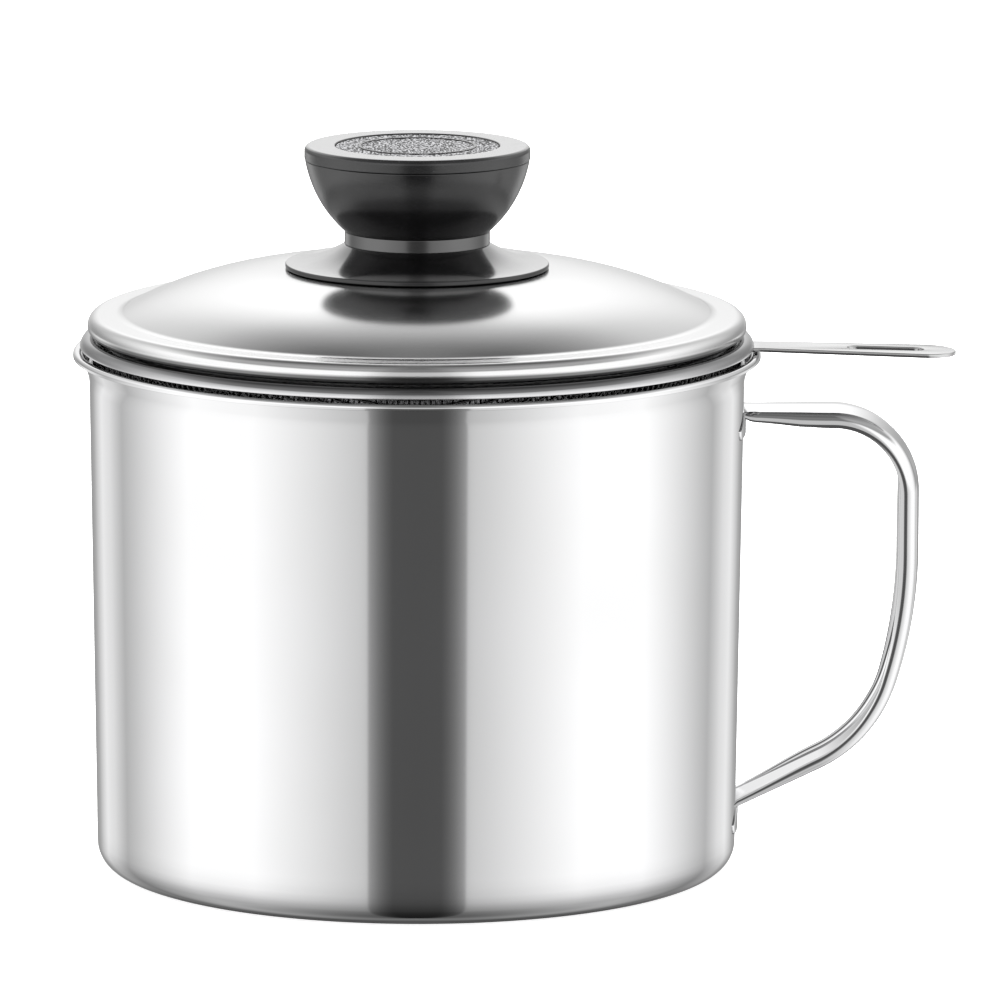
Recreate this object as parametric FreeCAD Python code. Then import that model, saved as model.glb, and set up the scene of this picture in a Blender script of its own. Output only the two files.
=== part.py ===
import FreeCAD, Part
import math
import os

from FreeCAD import Vector

# Kitchen grease keeper: drawn steel pot with a pressed channel handle, a mesh strainer that hangs
# in its mouth and a domed lid with a turned black knob. Millimetres, +Z up, +X towards the handles.
# The origin is on the pot's axis, at the surface that it stands on.

# ---- pot ----
potSheet = 0.6              # wall of the drawn pot
potHeight = 111.25          # floor to the top of the rolled rim
rimRadius = 73.0            # outermost radius of the rolled rim
mouthFlare = 3.45           # the rim stands this far outside the wall's top
wallDraft = 1.55            # the wall draws in this much from mouth to base
neckDrop = 5.45             # the mouth starts to flare this far below the rim's top
baseCorner = 5.5            # outer radius between wall and base
beadInset = 15.0            # stiffening ring pressed up into the base, inside the wall
beadFlat = 3.0
beadRun = 1.5
beadRise = 0.9
beadBend = 0.8
flareBend = 9.0
rimFlat = 1.4               # flat crown of the rim
rimDrop = 1.0               # how far the edge is turned down
rimInnerBend = 0.9
rimOuterBend = 0.5

neckRadius = rimRadius - mouthFlare
neckHeight = potHeight - neckDrop
baseRadius = neckRadius - wallDraft
beadRadius = baseRadius - beadInset

# ---- pot handle: one pressed channel with a welded foot at each end ----
handleSheet = 1.2
handleDrop = 11.45          # crown of the upper arm below the rim's top
gripOut = 37.35             # crown of the grip outside the wall's top
handleFoot = 12.7           # crown of the lower arm at the wall, above the floor
kneeOut = 30.9              # corner between grip and lower arm, outside the base's wall
kneeRise = 14.9             # the lower arm climbs this much from the wall to that corner
leanRise = 27.5             # the grip leans in over this height above that corner
upperBend = 18.5
leanBend = 95.0
kneeBend = 31.0
gripWidth = 19.0            # outside of the channel
gripDepth = 3.8             # at the upper bend
palmDepth = 4.5             # deepest, where the grip starts to lean in
kneeWidth = 18.0
kneeDepth = 3.2             # at the lower end of the knee's bend
rootWidth = 15.5            # the channel narrows and shallows towards the wall
upperRootDepth = 2.8
lowerRootDepth = 2.3
channelCrown = 0.9          # rise of the web across its width
gripBend = 1.9              # bend between web and flange, on the middle of the sheet
bendShare = 1.05            # bend of a shallow flange, as a share of its height
crownBend = 14.0
trimDrop = 1.3              # the flanges are cut back from here down, under the web
flangeSetback = 4.2         # cut-back from the wall at the full depth of the channel
endOverlap = 1.0            # the blank runs into the wall before it is cut to fit it
footTopWidth = 15.0
upperFootWidth = 27.0       # the feet widen like bells down the wall
lowerFootWidth = 23.0
footFlank = 0.5             # hollow of a foot's flanks
footHeight = 5.2            # how far a weld foot lies down the wall
footBrow = 2.2              # upright part of a foot's side edges
footRound = 2.0             # round lower corners
footSheet = 0.6

handleTop = potHeight - handleDrop
handleReach = neckRadius + gripOut
kneeReach = baseRadius + kneeOut
kneeHeight = handleFoot + kneeRise
gripLowHeight = kneeHeight + leanRise

# ---- strainer ----
stackGap = 0.3              # rest clearance between pieces that lift off each other
weldGap = 0.1               # between curved pieces that are spot welded together
strainerSheet = 0.6
tabSheet = 0.9
lipInset = 1.5              # the lip stands this far inside the pot's rim
lipBend = 1.8               # roll of the lip, on the middle of the sheet
lipLeg = 0.15               # straight edge below the roll
lipOverlap = 0.35           # the lip hangs this far down beside the tab, which has a notch in it
lipUpright = 0.3            # the inner leg stays upright this far below the lip's edge
legDrop = 6.9               # lower edge of the lip's inner leg, below the pot's rim
strainerTaper = 0.1013      # inward run of the basket wall for each millimetre down
taperBend = 4.0
meshSheet = 0.5             # two crossing wires
meshRise = 1.0              # the mesh ends inside the rolled lip, this far above the pot's rim
basketDrop = 34.9           # edge of the basket's floor, below the pot's rim
basketCorner = 12.0
basketSag = 2.0             # the floor falls this much towards its flat middle
basketFlat = 22.0
basketFloorBend = 20.0
clampSheet = 0.6            # band that holds the mesh against the lip's leg
clampDrop = 6.6             # lower edge of the band, below the pot's rim
clampSeatDrop = 2.7         # its seat flange, below the pot's rim
clampBend = 0.6

tabLow = potHeight + stackGap
tabHigh = tabLow + tabSheet
lipRadius = rimRadius - lipInset
lipEdge = tabHigh - lipOverlap
lipCrown = lipEdge + lipLeg + lipBend + strainerSheet / 2
lipOuterLeg = lipRadius - strainerSheet / 2
lipInnerLeg = lipOuterLeg - 2 * lipBend
legHeight = potHeight - legDrop
basketFloor = potHeight - basketDrop
clampLow = potHeight - clampDrop
clampSeatHeight = potHeight - clampSeatDrop

# ---- strainer tab ----
tabOut = 41.4               # tip outside the pot's rim
tabRootWidth = 9.5
tabTipRadius = 6.7
tabDip = 1.5                # degrees that it droops outside the pot's rim
tabTongueHeight = 0.6       # weld tongue inside the rolled lip, above the tab
tongueInset = 0.35          # clears the roll of the lip
slotLength = 16.3
slotWidth = 4.4
slotMargin = 6.8            # metal between the slot's end and the tip

tabReach = rimRadius + tabOut
slotEnd = tabReach - slotMargin
slotStart = slotEnd - slotLength

# ---- lid ----
lidSheet = 0.6
lidInset = 1.6              # the lid's edge stands this far inside the strainer's lip
ledgeRise = 4.5             # foot of the dome, above the hem's underside
ledgeWidth = 6.9            # from the lid's edge to the foot of the dome
ledgeFall = 0.1             # the ring falls this much towards its edge
domeRise = 9.6              # flat seat of the knob, above the foot of the dome
domeSlope = 29.0            # degrees, at the foot of the dome
domeBend = 75.0
domeFootBend = 4.0
lidEdgeBend = 2.1
lidHemBend = 1.6
plugClearance = 0.4         # radial, between the lid's skirt and the strainer
plugDepth = 3.65            # skirt below the hem
plugBend = 0.8

lidRadius = lipRadius - lidInset
domeRadius = lidRadius - ledgeWidth
lidHemLow = lipCrown + stackGap
ledgeTop = lidHemLow + ledgeRise
lidCrownTop = ledgeTop + domeRise

# ---- knob ----
bowlRadius = 23.85
flangeOut = 4.1             # the flange stands this far outside the bowl
flangeSeatInset = 2.0       # the flange rests on the lid inside this margin
flangeEdge = 1.0            # thickness at the flange's edge
flangeLift = 0.15           # the edge stands clear of the dome
flangeRise = 5.25           # top of the flange at the collar, above the lid
flangeSag = 0.85            # hollow of the flange's upper face
edgeBreak = 0.3
collarInset = 8.4           # the collar stands this far inside the bowl
collarWall = 1.1
collarHeight = 2.8
collarFit = 0.05
bowlHeight = 15.3           # collar to parting line
bowlSag = 1.5
bowlWall = 2.6
bowlFloorRise = 4.55        # bottom of the hollow above the collar
bossWall = 2.5              # material of the boss round and over the insert
capOut = 0.1                # the cap stands this far outside the bowl
capHeight = 2.9
capShoulder = 1.1
capPlugDepth = 2.4
capPlugFit = 0.15
partingGroove = 0.25
capLedge = 6.55             # width of the cap's plain rim round the recess
discRecess = 0.8
discFit = 0.1
discThickness = 0.5
ringInset = 5.2             # the raised ring lies this far inside the disc's edge
ringWidth = 0.6
ringHeight = 0.2
insertWall = 1.45
insertPlay = 0.1            # radial, round the screw
insertLength = 12.0
insertGroove = 0.4

flangeRadius = bowlRadius + flangeOut
flangeSeatRadius = flangeRadius - flangeSeatInset
collarRadius = bowlRadius - collarInset
capRadius = bowlRadius + capOut
discRadius = capRadius - capLedge
ringRadius = discRadius - ringInset
flangeTop = lidCrownTop + flangeRise
collarTop = flangeTop + collarHeight
bowlTop = collarTop + bowlHeight
bowlFloor = collarTop + bowlFloorRise
insertTop = flangeTop + insertLength
bossTop = insertTop + bossWall
knobTop = bowlTop + capHeight

# ---- lid screw and washers ----
screwRadius = 2.45
screwReach = 13.0           # length above the lid's underside
screwPlay = 0.35            # radial, in the lid and the flange
screwHeadOut = 2.15         # the head stands this far outside the shank
screwHeadHeight = 2.8
screwHeadBend = 1.3
driveWidth = 1.2
driveLength = 5.0
driveDepth = 1.6
washerOut = 2.9             # the washer stands this far outside the head
washerPlay = 0.2            # radial, round the shank
washerThickness = 1.0
springInset = 0.2           # the spring washer lies this far inside the head
springThickness = 1.2
springSlit = 0.9

screwHole = screwRadius + screwPlay
insertBore = screwRadius + insertPlay
insertRadius = insertBore + insertWall
bossRadius = insertRadius + bossWall
washerBore = screwRadius + washerPlay
screwHeadRadius = screwRadius + screwHeadOut
washerRadius = screwHeadRadius + washerOut
springRadius = screwHeadRadius - springInset
washerTop = lidCrownTop - lidSheet
springTop = washerTop - washerThickness
headTop = springTop - springThickness

tiny = 1e-6
axis = Vector(0, 0, 1)
centre = Vector(0, 0, 0)


# ---- drawing in a section plane; a point is (distance from the axis, height) ----

def place(point):
    return Vector(point[0], 0, point[1])


def heading(a, b):
    length = math.hypot(b[0] - a[0], b[1] - a[1])
    return (b[0] - a[0]) / length, (b[1] - a[1]) / length


def turnSide(a, b, c):
    """1 where the path a, b, c turns left, -1 where it turns right."""
    first = heading(a, b)
    second = heading(b, c)
    return math.copysign(1, first[0] * second[1] - first[1] * second[0])


def shifted(path, distance):
    """The path moved to its own left by the distance, with its corners met again."""
    lines = []
    for a, b in zip(path, path[1:]):
        run = heading(a, b)
        start = (a[0] - run[1] * distance, a[1] + run[0] * distance)
        lines.append((start, run))
    moved = [lines[0][0]]
    for (p, u), (q, v) in zip(lines, lines[1:]):
        cross = u[0] * v[1] - u[1] * v[0]
        along = ((q[0] - p[0]) * v[1] - (q[1] - p[1]) * v[0]) / cross
        moved.append((p[0] + u[0] * along, p[1] + u[1] * along))
    run = lines[-1][1]
    end = path[-1]
    moved.append((end[0] - run[1] * distance, end[1] + run[0] * distance))
    return moved


def roundedEdges(path, bends):
    """Edges of a path whose inner corners are rounded to the given radii."""
    edges = []
    cursor = path[0]
    for before, corner, after, bend in zip(path, path[1:], path[2:], bends):
        arrive = heading(before, corner)
        leave = heading(corner, after)
        turn = math.acos(max(-1, min(1, arrive[0] * leave[0] + arrive[1] * leave[1])))
        reach = bend * math.tan(turn / 2)
        start = (corner[0] - arrive[0] * reach, corner[1] - arrive[1] * reach)
        end = (corner[0] + leave[0] * reach, corner[1] + leave[1] * reach)
        if math.dist(cursor, start) > tiny:
            edges.append(Part.makeLine(place(cursor), place(start)))
        if bend > tiny:
            depth = bend / math.cos(turn / 2) - bend
            inward = heading((0, 0), (leave[0] - arrive[0], leave[1] - arrive[1]))
            middle = (corner[0] + inward[0] * depth, corner[1] + inward[1] * depth)
            edges.append(Part.Arc(place(start), place(middle), place(end)).toShape())
        cursor = end
    if math.dist(cursor, path[-1]) > tiny:
        edges.append(Part.makeLine(place(cursor), place(path[-1])))
    return edges


def closedFace(edges):
    return Part.Face(Part.Wire(Part.__sortEdges__(edges)))


def sheetFace(path, bends, thickness):
    """Section of a bent sheet: the path is the middle of the sheet."""
    half = thickness / 2
    turns = [turnSide(a, b, c) for a, b, c in zip(path, path[1:], path[2:])]
    left = shifted(path, half)
    right = shifted(path, -half)
    edges = roundedEdges(left, [bend - turn * half for bend, turn in zip(bends, turns)])
    edges += roundedEdges(right, [bend + turn * half for bend, turn in zip(bends, turns)])
    edges.append(Part.makeLine(place(left[0]), place(right[0])))
    edges.append(Part.makeLine(place(left[-1]), place(right[-1])))
    return closedFace(edges)


def turned(face):
    return face.revolve(centre, axis, 360)


def line(a, b):
    return Part.makeLine(place(a), place(b))


def bow(a, b, sag):
    """Arc from a to b whose middle stands to the left of the chord by sag."""
    run = heading(a, b)
    middle = ((a[0] + b[0]) / 2 - run[1] * sag, (a[1] + b[1]) / 2 + run[0] * sag)
    return Part.Arc(place(a), place(middle), place(b)).toShape()


def chain(points):
    return [line(a, b) for a, b in zip(points, points[1:])]


def ring(inner, outer, low, high):
    corners = [(inner, low), (outer, low), (outer, high), (inner, high), (inner, low)]
    return turned(closedFace(chain(corners)))


# ---- pot ----

def wallRadius(height):
    """Outer radius of the pot's straight wall."""
    return baseRadius + (neckRadius - baseRadius) * height / neckHeight


def potPath():
    half = potSheet / 2
    rimLevel = potHeight - half
    rimSide = rimRadius - half
    beadReach = beadFlat / 2 + beadRun
    return [
        (0, half),
        (beadRadius - beadReach, half),
        (beadRadius - beadFlat / 2, half + beadRise),
        (beadRadius + beadFlat / 2, half + beadRise),
        (beadRadius + beadReach, half),
        (baseRadius - half, half),
        (neckRadius - half, neckHeight),
        (rimSide - rimFlat, rimLevel),
        (rimSide, rimLevel),
        (rimSide, rimLevel - rimDrop),
    ]


def potBody():
    bends = [beadBend] * 4 + [baseCorner - potSheet / 2, flareBend]
    bends += [rimInnerBend, rimOuterBend]
    return turned(sheetFace(potPath(), bends, potSheet))


# ---- pot handle ----

def crownPath():
    return [
        (wallRadius(handleTop) - endOverlap, handleTop),
        (handleReach, handleTop),
        (handleReach, gripLowHeight),
        (kneeReach, kneeHeight),
        (wallRadius(handleFoot) - endOverlap, handleFoot),
    ]


def channelWire(width, depth):
    """Outline of the channel across the grip: crown at the origin, flanges towards -Z."""
    half = width / 2 - handleSheet / 2
    drop = channelCrown + handleSheet / 2
    bend = min(gripBend, (depth - drop) * bendShare)
    path = [(-half, -depth), (-half, -drop), (0, -handleSheet / 2), (half, -drop), (half, -depth)]
    face = sheetFace(path, [bend, crownBend, bend], handleSheet)
    wire = face.OuterWire
    wire.rotate(centre, axis, 90)
    return wire


def stationed(wire, point, run):
    """The section stood across the grip at a point where the crown heads along run."""
    placed = wire.copy()
    angle = -math.degrees(math.atan2(run[1], run[0]))
    placed.rotate(centre, Vector(0, 1, 0), angle)
    placed.translate(place(point))
    return placed


def channel():
    path = crownPath()
    spine = Part.Wire(roundedEdges(path, [upperBend, leanBend, kneeBend]))
    upper = heading(path[0], path[1])
    lower = heading(path[-2], path[-1])
    ends = [vertex.Point for vertex in spine.OrderedVertexes]
    firstBend = (ends[1].x, ends[1].z)
    leanStart = (ends[3].x, ends[3].z)
    lastBend = (ends[-2].x, ends[-2].z)
    sweep = Part.BRepOffsetAPI.MakePipeShell(spine)
    sweep.setBiNormalMode(Vector(0, 1, 0))
    sweep.add(stationed(channelWire(rootWidth, upperRootDepth), path[0], upper))
    sweep.add(stationed(channelWire(gripWidth, gripDepth), firstBend, upper))
    sweep.add(stationed(channelWire(gripWidth, palmDepth), leanStart, heading(path[1], path[2])))
    sweep.add(stationed(channelWire(kneeWidth, kneeDepth), lastBend, lower))
    sweep.add(stationed(channelWire(rootWidth, lowerRootDepth), path[-1], lower))
    sweep.build()
    sweep.makeSolid()
    return sweep.shape()


def flangeTrim(root, away, hollow):
    """Wedge that cuts the flanges back from the wall: away leaves it, hollow faces the grip gap."""

    def corner(out, down):
        return root[0] + away[0] * out + hollow[0] * down, root[1] + away[1] * out + hollow[1] * down

    low = trimDrop + gripDepth
    corners = [
        corner(endOverlap, trimDrop), corner(endOverlap + flangeSetback, low),
        corner(-gripDepth, low), corner(-gripDepth, trimDrop), corner(endOverlap, trimDrop),
    ]
    face = closedFace(chain(corners))
    face.translate(Vector(0, -gripWidth, 0))
    return face.extrude(Vector(0, gripWidth * 2, 0))


def footOutline(top, lowWidth):
    """Weld foot seen from outside: hollow flanks widen down the wall to rounded corners."""
    low = top - footHeight
    halfTop = footTopWidth / 2
    halfLow = lowWidth / 2
    brow = low + footBrow
    edges = [
        bow((-halfTop, top), (-halfLow, brow), footFlank),
        bow((halfLow, brow), (halfTop, top), footFlank),
        line((halfTop, top), (-halfTop, top)),
    ]
    corners = [(-halfLow, brow), (-halfLow, low), (halfLow, low), (halfLow, brow)]
    edges += roundedEdges(corners, [footRound, footRound])
    face = closedFace(edges)
    face.rotate(centre, axis, 90)
    return face


def weldFoot(top, lowWidth):
    low = top - footHeight
    inner = [(wallRadius(low), low), (wallRadius(top), top)]
    outer = [(wallRadius(top) + footSheet, top), (wallRadius(low) + footSheet, low)]
    sleeve = turned(closedFace(chain(inner + outer + inner[:1])))
    return sleeve.common(footOutline(top, lowWidth).extrude(Vector(rimRadius, 0, 0)))


def potHandle():
    path = crownPath()
    body = channel()
    for root, after in ((path[0], path[1]), (path[-1], path[-2])):
        away = heading(root, after)
        side = turnSide(root, after, path[2])
        body = body.cut(flangeTrim(root, away, (-away[1] * side, away[0] * side)))
    body = body.fuse(weldFoot(handleTop - channelCrown, upperFootWidth))
    body = body.fuse(weldFoot(handleFoot + channelCrown, lowerFootWidth))
    wall = closedFace(chain([(0, 0), (wallRadius(0), 0), (wallRadius(potHeight), potHeight),
                             (0, potHeight), (0, 0)]))
    return body.cut(turned(wall)).removeSplitter()


# ---- strainer ----

def legPath():
    """Middle of the lip's inner leg, from its lower edge up to where it stands upright."""
    bendHeight = lipEdge - lipUpright
    low = lipInnerLeg - strainerTaper * (bendHeight - legHeight)
    return [(low, legHeight), (lipInnerLeg, bendHeight)]


def strainerRim():
    level = lipCrown - strainerSheet / 2
    path = legPath() + [(lipInnerLeg, level), (lipOuterLeg, level), (lipOuterLeg, lipEdge)]
    rim = turned(sheetFace(path, [taperBend, lipBend, lipBend], strainerSheet))
    width = tabRootWidth + 2 * stackGap
    notch = Part.makeBox(lipBend, width, tabHigh + weldGap - lipEdge,
                         Vector(lipRadius - lipBend, -width / 2, lipEdge))
    return rim.cut(notch)


def besideLeg(distance):
    """The leg's line moved outwards, carried on up inside the rolled lip."""
    up = legPath() + [(lipInnerLeg, potHeight + meshRise)]
    return shifted(up, -distance)


def onTaper(path, height):
    """Point of the tapered line at a height."""
    return path[0][0] + strainerTaper * (height - path[0][1]), height


def strainerMesh():
    offset = (strainerSheet + meshSheet) / 2 + weldGap
    wall = besideLeg(offset)
    lowest = basketFloor - basketSag
    path = [wall[2], wall[1], onTaper(wall, basketFloor), (basketFlat, lowest), (0, lowest)]
    bends = [taperBend + offset, basketCorner, basketFloorBend]
    return turned(sheetFace(path, bends, meshSheet))


def flareInner(height):
    """Inner radius of the pot's flared mouth."""
    half = potSheet / 2
    foot, head = potPath()[6:8]
    inner = shifted([foot, head], half)
    slope = (head[0] - foot[0]) / (head[1] - foot[1])
    return inner[0][0] + slope * (height - inner[0][1])


def meshClampRing():
    wall = besideLeg((strainerSheet + clampSheet) / 2 + meshSheet + 2 * weldGap)
    seatLow = clampSeatHeight - clampSheet / 2
    reach = flareInner(seatLow) - stackGap
    path = [onTaper(wall, clampLow), onTaper(wall, clampSeatHeight), (reach, clampSeatHeight)]
    return turned(sheetFace(path, [clampBend], clampSheet))


def tabOutline():
    """Flat tab seen from above: it widens from the lip to a round tip."""
    tip = (tabReach - tabTipRadius, 0)
    rootX = lipInnerLeg
    lean = math.asin((tabTipRadius - tabRootWidth / 2) / (tip[0] - rootX))
    side = (tip[0] - tabTipRadius * math.sin(lean), tabTipRadius * math.cos(lean))
    near = [Vector(rootX, -tabRootWidth / 2, 0), Vector(side[0], -side[1], 0)]
    far = [Vector(side[0], side[1], 0), Vector(rootX, tabRootWidth / 2, 0)]
    edges = [
        Part.makeLine(*near),
        Part.Arc(near[1], Vector(tabReach, 0, 0), far[0]).toShape(),
        Part.makeLine(*far),
        Part.makeLine(far[1], near[0]),
    ]
    return closedFace(edges)


def tabSlot():
    radius = slotWidth / 2
    start = slotStart + radius
    end = slotEnd - radius
    edges = [
        Part.makeLine(Vector(start, -radius, 0), Vector(end, -radius, 0)),
        Part.Arc(Vector(end, -radius, 0), Vector(slotEnd, 0, 0), Vector(end, radius, 0)).toShape(),
        Part.makeLine(Vector(end, radius, 0), Vector(start, radius, 0)),
        Part.Arc(Vector(start, radius, 0), Vector(slotStart, 0, 0), Vector(start, -radius, 0)).toShape(),
    ]
    return closedFace(edges)


def strainerTab():
    plate = tabOutline().cut(tabSlot()).extrude(Vector(0, 0, tabSheet))
    plate.translate(Vector(0, 0, tabLow))
    inside = Part.makeCylinder(rimRadius, tabSheet, Vector(0, 0, tabLow))
    drooping = plate.cut(inside)
    drooping.rotate(Vector(rimRadius, 0, tabHigh), Vector(0, 1, 0), tabDip)
    plate = plate.common(inside).fuse(drooping)
    meshFace = besideLeg(strainerSheet / 2 + meshSheet + weldGap)[1][0]
    plate = plate.cut(ring(0, meshFace + stackGap, tabLow, lipCrown))
    tongueOuter = lipOuterLeg - strainerSheet / 2 - tongueInset
    sleeve = ring(tongueOuter - tabSheet, tongueOuter, tabLow, tabHigh + tabTongueHeight)
    blank = Part.makeBox(lipRadius, tabRootWidth, lipCrown - tabLow,
                         Vector(0, -tabRootWidth / 2, tabLow))
    return plate.fuse(sleeve.common(blank)).removeSplitter()


# ---- lid ----

def lidShell():
    half = lidSheet / 2
    crown = lidCrownTop - half
    ledge = ledgeTop - half
    hem = lidHemLow + half
    side = lidRadius - half
    plug = lipInnerLeg - strainerSheet / 2 - plugClearance - half
    domeCorner = domeRadius - (crown - ledge) / math.tan(math.radians(domeSlope))
    path = [
        (screwHole, crown),
        (domeCorner, crown),
        (domeRadius, ledge),
        (side, ledge - ledgeFall),
        (side, hem),
        (plug, hem),
        (plug, hem - plugDepth),
    ]
    bends = [domeBend, domeFootBend, lidEdgeBend, lidHemBend, plugBend]
    return turned(sheetFace(path, bends, lidSheet))


# ---- knob ----

def knobFlange():
    low = lidCrownTop
    edgeLow = low + flangeLift
    edgeTop = edgeLow + flangeEdge
    brink = (flangeRadius - edgeBreak, edgeTop)
    ledge = (collarRadius, flangeTop)
    edges = chain([
        ledge, (screwHole, flangeTop), (screwHole, low), (flangeSeatRadius, low),
        (flangeRadius - edgeBreak, edgeLow), (flangeRadius, edgeLow + edgeBreak),
        (flangeRadius, edgeTop - edgeBreak), brink,
    ])
    edges.append(bow(brink, ledge, flangeSag))
    return turned(closedFace(edges))


def knobCollar():
    return ring(collarRadius - collarWall, collarRadius, flangeTop, collarTop)


def knobBowl():
    spigot = collarRadius - collarWall - collarFit
    cavity = bowlRadius - bowlWall
    waist = (collarRadius, collarTop)
    lip = (bowlRadius - partingGroove, bowlTop)
    shoulder = (bowlRadius, bowlTop - partingGroove)
    edges = [bow(waist, shoulder, -bowlSag)]
    edges += chain([
        shoulder, lip, (cavity, bowlTop), (cavity, bowlTop - capPlugDepth - capPlugFit),
        (spigot - bowlWall, bowlFloor), (bossRadius, bowlFloor), (bossRadius, bossTop),
        (0, bossTop), (0, insertTop), (insertRadius, insertTop),
        (insertRadius, flangeTop), (spigot, flangeTop), (spigot, collarTop), waist,
    ])
    return turned(closedFace(edges))


def knobCap():
    plug = bowlRadius - bowlWall - capPlugFit
    floor = knobTop - discRecess
    under = bowlTop - capPlugDepth
    side = [(capRadius, bowlTop + partingGroove), (capRadius, knobTop), (discRadius, knobTop)]
    edges = roundedEdges(side, [capShoulder])
    edges += chain([
        side[-1], (discRadius, floor), (0, floor), (0, floor - bowlWall),
        (plug - bowlWall, floor - bowlWall), (plug - bowlWall, under), (plug, under),
        (plug, bowlTop), (capRadius - partingGroove, bowlTop), side[0],
    ])
    return turned(closedFace(edges))


def knobTopDisc():
    low = knobTop - discRecess
    top = low + discThickness
    rim = discRadius - discFit
    outer = ringRadius + ringWidth / 2
    inner = ringRadius - ringWidth / 2
    corners = [
        (0, low), (rim, low), (rim, top), (outer, top), (outer, top + ringHeight),
        (inner, top + ringHeight), (inner, top), (0, top), (0, low),
    ]
    return turned(closedFace(chain(corners)))


def knobInsert():
    body = ring(insertBore, insertRadius, flangeTop, insertTop)
    middle = (flangeTop + insertTop) / 2
    groove = ring(insertRadius - insertGroove, insertRadius + insertGroove,
                  middle - insertGroove, middle + insertGroove)
    return body.cut(groove)


# ---- lid screw and washers ----

def lidScrew():
    low = headTop - screwHeadHeight
    outline = [(0, low), (screwHeadRadius, low), (screwHeadRadius, headTop)]
    edges = roundedEdges(outline, [screwHeadBend])
    edges += chain([
        outline[-1], (screwRadius, headTop), (screwRadius, washerTop + screwReach),
        (0, washerTop + screwReach), outline[0],
    ])
    screw = turned(closedFace(edges))
    slot = Part.makeBox(driveLength, driveWidth, driveDepth,
                        Vector(-driveLength / 2, -driveWidth / 2, low))
    crossSlot = slot.copy()
    crossSlot.rotate(centre, axis, 90)
    return screw.cut(slot.fuse(crossSlot))


def screwWasher():
    return ring(washerBore, washerRadius, springTop, washerTop)


def springWasher():
    slit = Part.makeBox(springRadius * 2, springSlit, springThickness,
                        Vector(0, -springSlit / 2, headTop))
    return ring(washerBore, springRadius, headTop, springTop).cut(slit)


nodes = {
    "pot_body": potBody,
    "pot_handle": potHandle,
    "strainer_rim": strainerRim,
    "strainer_mesh": strainerMesh,
    "mesh_clamp_ring": meshClampRing,
    "strainer_tab": strainerTab,
    "lid_shell": lidShell,
    "knob_flange": knobFlange,
    "knob_collar": knobCollar,
    "knob_bowl": knobBowl,
    "knob_cap": knobCap,
    "knob_top_disc": knobTopDisc,
    "knob_insert": knobInsert,
    "lid_screw": lidScrew,
    "screw_washer": screwWasher,
    "spring_washer": springWasher,
}

os.makedirs("parts", exist_ok=True)
for name, build in nodes.items():
    shape = build()
    shape.exportStep("parts/" + name + ".step")
    box = shape.optimalBoundingBox(True, False)
    print(name, len(shape.Solids), shape.isValid(), round(shape.Volume, 1),
          [round(v, 2) for v in (box.XMin, box.XMax, box.YMin, box.YMax, box.ZMin, box.ZMax)])
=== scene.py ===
import math
import bmesh
import bpy
from mathutils import Matrix, Vector


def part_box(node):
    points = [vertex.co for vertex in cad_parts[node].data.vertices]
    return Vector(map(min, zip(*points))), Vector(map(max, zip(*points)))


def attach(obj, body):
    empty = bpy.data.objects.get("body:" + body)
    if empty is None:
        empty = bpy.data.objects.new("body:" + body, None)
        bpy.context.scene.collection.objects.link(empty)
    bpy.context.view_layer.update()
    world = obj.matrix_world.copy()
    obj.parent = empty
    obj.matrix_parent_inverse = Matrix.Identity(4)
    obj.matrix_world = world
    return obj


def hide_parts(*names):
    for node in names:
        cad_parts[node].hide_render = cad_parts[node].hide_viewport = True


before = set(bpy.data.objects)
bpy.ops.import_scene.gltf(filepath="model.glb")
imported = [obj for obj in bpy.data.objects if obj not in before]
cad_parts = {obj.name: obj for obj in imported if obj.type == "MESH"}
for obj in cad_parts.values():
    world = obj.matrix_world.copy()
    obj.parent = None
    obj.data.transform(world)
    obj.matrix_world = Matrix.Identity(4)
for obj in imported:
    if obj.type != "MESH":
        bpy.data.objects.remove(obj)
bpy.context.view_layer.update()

# Grease keeper in polished steel: pot, lift-out mesh strainer, domed lid and black knob.
# Section sizes are millimetres from the pot's axis and from the floor; meshes are metres.

mm = 0.001


def linearColour(hexCode):
    channels = [int(hexCode[i:i + 2], 16) / 255 for i in (1, 3, 5)]
    return [c / 12.92 if c <= 0.04045 else ((c + 0.055) / 1.055) ** 2.4 for c in channels] + [1]


def addNode(tree, kind, settings=None, inputs=None):
    # an input that is given as a node takes that node's first output
    node = tree.nodes.new(kind)
    for key, value in (settings or {}).items():
        setattr(node, key, value)
    for key, value in (inputs or {}).items():
        if isinstance(value, bpy.types.Node):
            value = value.outputs[0]
        if isinstance(value, bpy.types.NodeSocket):
            tree.links.new(value, node.inputs[key])
        else:
            node.inputs[key].default_value = value
    return node


def highOf(node):
    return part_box(node)[1].z / mm


def reachOf(node):
    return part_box(node)[1].x / mm


def leftOf(direction):
    return Vector((-direction.y, direction.x))


def roundedPath(corners, bends, steps=8):
    # corners turned into arcs: a list of (point, direction of travel); a bend of 0 is a smooth point
    points = [Vector(corner) for corner in corners]
    path = [(points[0], (points[1] - points[0]).normalized())]
    for before, corner, after, bend in zip(points, points[1:], points[2:], bends):
        arrive = (corner - before).normalized()
        leave = (after - corner).normalized()
        turn = math.atan2(arrive.x * leave.y - arrive.y * leave.x, arrive.dot(leave))
        if bend == 0 or abs(turn) < 1e-4:
            path.append((corner, (arrive + leave).normalized()))
            continue
        side = math.copysign(bend, turn)
        start = corner - arrive * bend * math.tan(abs(turn) / 2)
        centre = start + leftOf(arrive) * side
        for k in range(steps + 1):
            angle = turn * k / steps
            direction = Vector((arrive.x * math.cos(angle) - arrive.y * math.sin(angle),
                                arrive.x * math.sin(angle) + arrive.y * math.cos(angle)))
            path.append((centre - leftOf(direction) * side, direction))
    path.append((points[-1], (points[-1] - points[-2]).normalized()))
    return path


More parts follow.
